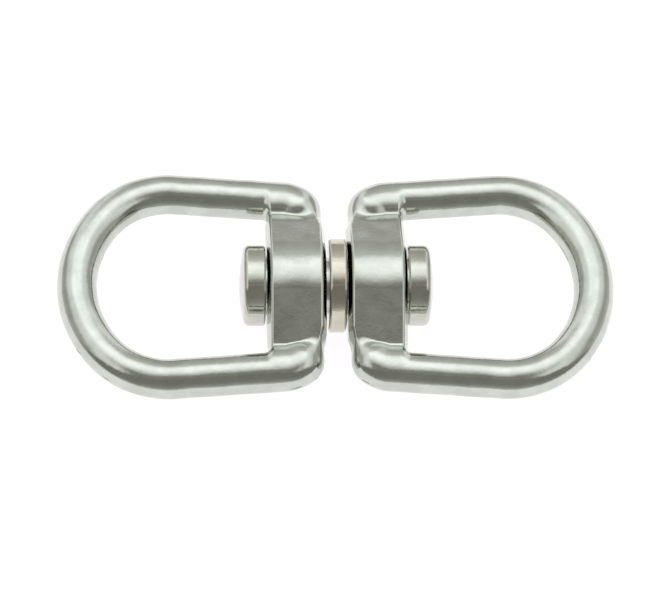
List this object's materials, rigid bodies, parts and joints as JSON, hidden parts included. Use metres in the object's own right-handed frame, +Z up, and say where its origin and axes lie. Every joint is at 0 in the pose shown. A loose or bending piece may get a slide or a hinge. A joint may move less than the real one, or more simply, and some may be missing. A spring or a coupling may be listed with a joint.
{
  "type": "anchor swivel",
  "caption": "Eye-and-eye anchor swivel: D-shaped eyes that turn freely on a domed-head pin with a spacer ring between their bosses.",
  "frame": {"origin": "on the swivel axis, at the middle of the assembly, which is the centre of its box", "axes": "+X along the swivel axis towards the right-hand eye, +Y across the eyes in their plane, +Z up, square to the plane of the eyes as the swivel lies flat"},
  "size_m": [0.0834, 0.0378, 0.0144],
  "materials": {
    "eye_steel": "cast or forged stainless steel, polished",
    "pin_steel": "turned stainless steel, polished",
    "spacer_steel": "turned stainless steel, bright"
  },
  "bodies": {
    "pin": {"swivel_pin": "pin_steel", "end_head": "pin_steel"},
    "left_eye": {"left_eye": "eye_steel"},
    "right_eye": {"right_eye": "eye_steel"},
    "spacer": {"spacer_ring": "spacer_steel"}
  },
  "joints": [
    {"name": "left_eye_swivel", "type": "hinge", "parent": "pin", "child": "left_eye", "pos_m": [-0.006, 0, 0], "axis": [1, 0, 0], "continuous": true},
    {"name": "right_eye_swivel", "type": "hinge", "parent": "pin", "child": "right_eye", "pos_m": [0.006, 0, 0], "axis": [1, 0, 0], "continuous": true},
    {"name": "spacer_spin", "type": "hinge", "parent": "pin", "child": "spacer", "pos_m": [0.00012, 0, 0], "axis": [1, 0, 0], "continuous": true}
  ]
}
